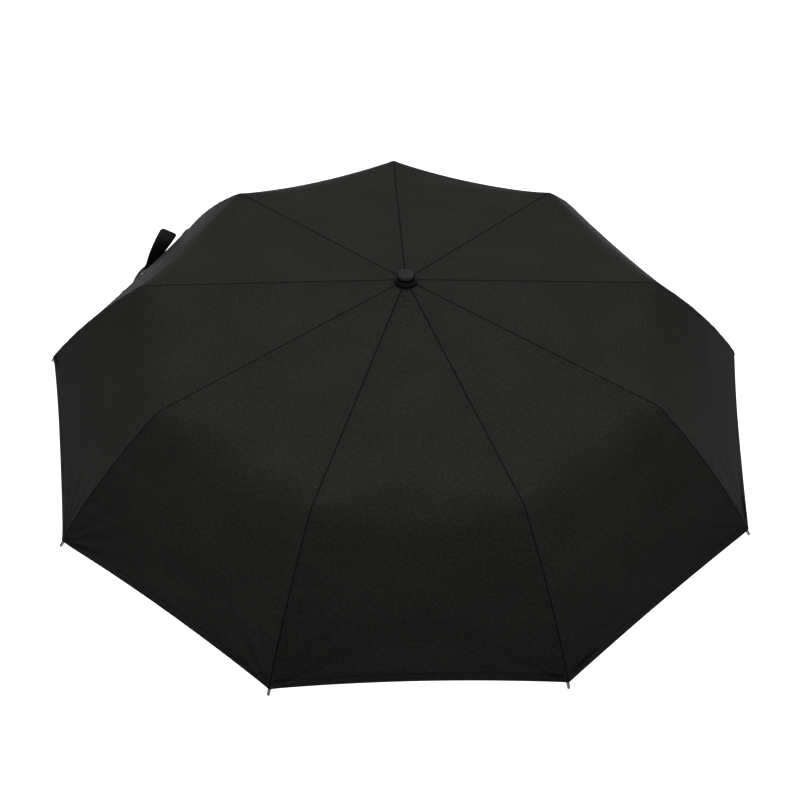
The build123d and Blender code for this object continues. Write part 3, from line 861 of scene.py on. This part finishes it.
def make_strap():
    """Strap sewn to the hem between ribs 2 and 3, its free end standing up."""
    corner_2, corner_3 = (polar(azimuth(n)) * TIP[0] + UP * (APEX + TIP[1]) for n in (2, 3))
    along = (corner_2 - corner_3) / np.linalg.norm(corner_2 - corner_3)
    out = np.array([-along[1], along[0], 0.0])
    base = corner_3 + (corner_2 - corner_3) * 0.66
    # its upper edge, then the vector to the lower edge, in mm along the hem, up and outwards from the
    # base: sewn flat to the cloth, then lifting off it and standing up, free end last
    keys = np.array([
        ((-50, 1, -3), (2, -14, 14)),
        ((-37, -1.5, -1), (9, -16, 12)),
        ((-23.4, 3.6, 0.5), (15, -16.6, 9)),
        ((-15.3, 9.2, -1.8), (15.1, -16.7, 8.1)),
        ((-7.4, 15, -6), (15.9, -16.3, 1.1)),
        ((3.1, 24, -4.8), (14.8, -14.7, -7.4)),
        ((12.1, 34.9, -6), (15.2, -13.8, -11.2)),
        ((24.6, 44.2, -6), (13.4, -13.6, -15.6)),
        ((38.5, 48.2, -4), (12, -13.2, -18)),
    ]) / 1000
    frame_axes = np.array([along, UP, out])
    edges, widths = (smooth_line(keys[:, n] @ frame_axes, STRAP_POINTS) for n in (0, 1))
    centres, halves = base + edges + widths / 2, widths / 2
    end, end_half = centres[-1], halves[-1]
    run = (end - centres[-2]) / np.linalg.norm(end - centres[-2])
    for turn in np.radians((25, 45, 62, 76, 86)):
        shorter = 1 - STRAP_END_ROUND * (1 - math.cos(turn)) / np.linalg.norm(end_half)
        centres = np.vstack([centres, end + run * STRAP_END_ROUND * math.sin(turn)])
        halves = np.vstack([halves, end_half * shorter])
    band = ribbon("closing_strap", centres, halves, STRAP_THICKNESS, STRAP)
    face = np.cross(centres[SNAP_POINT + 1] - centres[SNAP_POINT - 1], halves[SNAP_POINT])
    face /= np.linalg.norm(face)
    snap = snap_fastener(centres[SNAP_POINT] + face * 0.0007, face)
    for piece, slot in ((band, "strap_webbing"), (snap, "bright_wire")):
        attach(piece, "outer_rib_2")
        tuple(fold_axis(2, 1))
        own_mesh(piece)
        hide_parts("closure_strap")


# radius and height, from the edge of the snap's plate to the top of its stud
SNAP_OUTLINE = (
    (0.0040, 0.0), (0.0042, 0.0005), (0.0038, 0.0010), (0.0024, 0.0009), (0.0016, 0.0010),
    (0.0021, 0.0022), (0.0017, 0.0030), (0.0009, 0.0033), (0.0, 0.0034),
)


def snap_fastener(centre, facing):
    """Stud of a snap: a turned outline on the strap's face."""
    turn = Vector(facing).to_track_quat("Z", "Y").to_matrix()
    points, faces, sides = [], [], 32
    for r, z in SNAP_OUTLINE:
        for step in range(sides):
            angle = 2 * math.pi * step / sides
            point = turn @ Vector((r * math.cos(angle), r * math.sin(angle), z))
            points.append(tuple(point + Vector(centre)))
    for i in range(len(SNAP_OUTLINE) - 1):
        for j in range(sides):
            k = (j + 1) % sides
            faces.append((i * sides + j, i * sides + k, (i + 1) * sides + k, (i + 1) * sides + j))
    faces.append(tuple(reversed(range(sides))))
    mesh = bpy.data.meshes.new("strap_snap")
    mesh.from_pydata(points, [], faces)
    mesh.materials.append(WIRE)
    mesh.polygons.foreach_set("use_smooth", [True] * len(faces))
    mesh.update()
    return place_piece("strap_snap", mesh)


make_strap()


# ---- floor and light ----
FLOOR_HALF = 9.0
FLOOR_BELOW = 0.95
WORLD_LOW, WORLD_HIGH = 0.10, 0.64
BACKDROP = 0.86


def make_floor():
    """Pale floor below the object, clear from underneath so that the underside can be looked at."""
    mesh = bpy.data.meshes.new("floor")
    corners = [(x * FLOOR_HALF, y * FLOOR_HALF, 0) for x, y in ((-1, -1), (1, -1), (1, 1), (-1, 1))]
    mesh.from_pydata(corners, [], [(0, 1, 2, 3)])
    nodes = Nodes("floor_paint")
    speck = nodes.noise(nodes.object_place(), 3.0, 2.0)
    paint = nodes.mix(speck, grey(0.90), grey(0.94))
    nodes.set(Base_Color=paint, Roughness=0.95, Specular_IOR_Level=0.1)
    clear = nodes.add("ShaderNodeBsdfTransparent")
    either = nodes.add("ShaderNodeMixShader")
    nodes.link(nodes.add("ShaderNodeNewGeometry").outputs["Backfacing"], either.inputs[0])
    nodes.link(nodes.shader.outputs[0], either.inputs[1])
    nodes.link(clear.outputs[0], either.inputs[2])
    nodes.link(either.outputs[0], nodes.out.inputs[0])
    mesh.materials.append(nodes.material)
    floor = place_piece("floor", mesh)
    floor.location = (0, 0, CAD_BOX[0][2] - FLOOR_BELOW)


def area_light(name, place, aim, size, power):
    data = bpy.data.lights.new(name, "AREA")
    data.shape = "DISK"
    data.size = size
    data.energy = power
    light = bpy.data.objects.new(name, data)
    light.location = place
    light.rotation_euler = (Vector(aim) - Vector(place)).to_track_quat("-Z", "Y").to_euler()
    bpy.context.scene.collection.objects.link(light)


def make_light():
    """A big soft light above and behind, and a studio dim at the sides and lighter overhead."""
    world = bpy.data.worlds.new("studio")
    bpy.context.scene.world = world
    world.use_nodes = True
    tree = world.node_tree
    background = tree.nodes["Background"]
    background.inputs[0].default_value = (1.0, 1.0, 1.0, 1.0)
    split = tree.nodes.new("ShaderNodeSeparateXYZ")
    tree.links.new(tree.nodes.new("ShaderNodeTexCoord").outputs["Generated"], split.inputs[0])
    fade = tree.nodes.new("ShaderNodeMapRange")
    for socket, value in zip(fade.inputs[1:5], (-0.1, 0.9, WORLD_LOW, WORLD_HIGH)):
        socket.default_value = value
    tree.links.new(split.outputs["Z"], fade.inputs[0])
    seen = tree.nodes.new("ShaderNodeMix")
    tree.links.new(tree.nodes.new("ShaderNodeLightPath").outputs["Is Camera Ray"], seen.inputs[0])
    tree.links.new(fade.outputs[0], seen.inputs[2])
    seen.inputs[3].default_value = BACKDROP
    tree.links.new(seen.outputs[0], background.inputs[1])
    area_light("top_light", (0.0, 2.6, 7.0), (0, 0, 0.3), 4.5, 860.0)


make_floor()
make_light()
bpy.context.scene.view_settings.view_transform = "Standard"
bpy.context.scene.view_settings.look = "None"
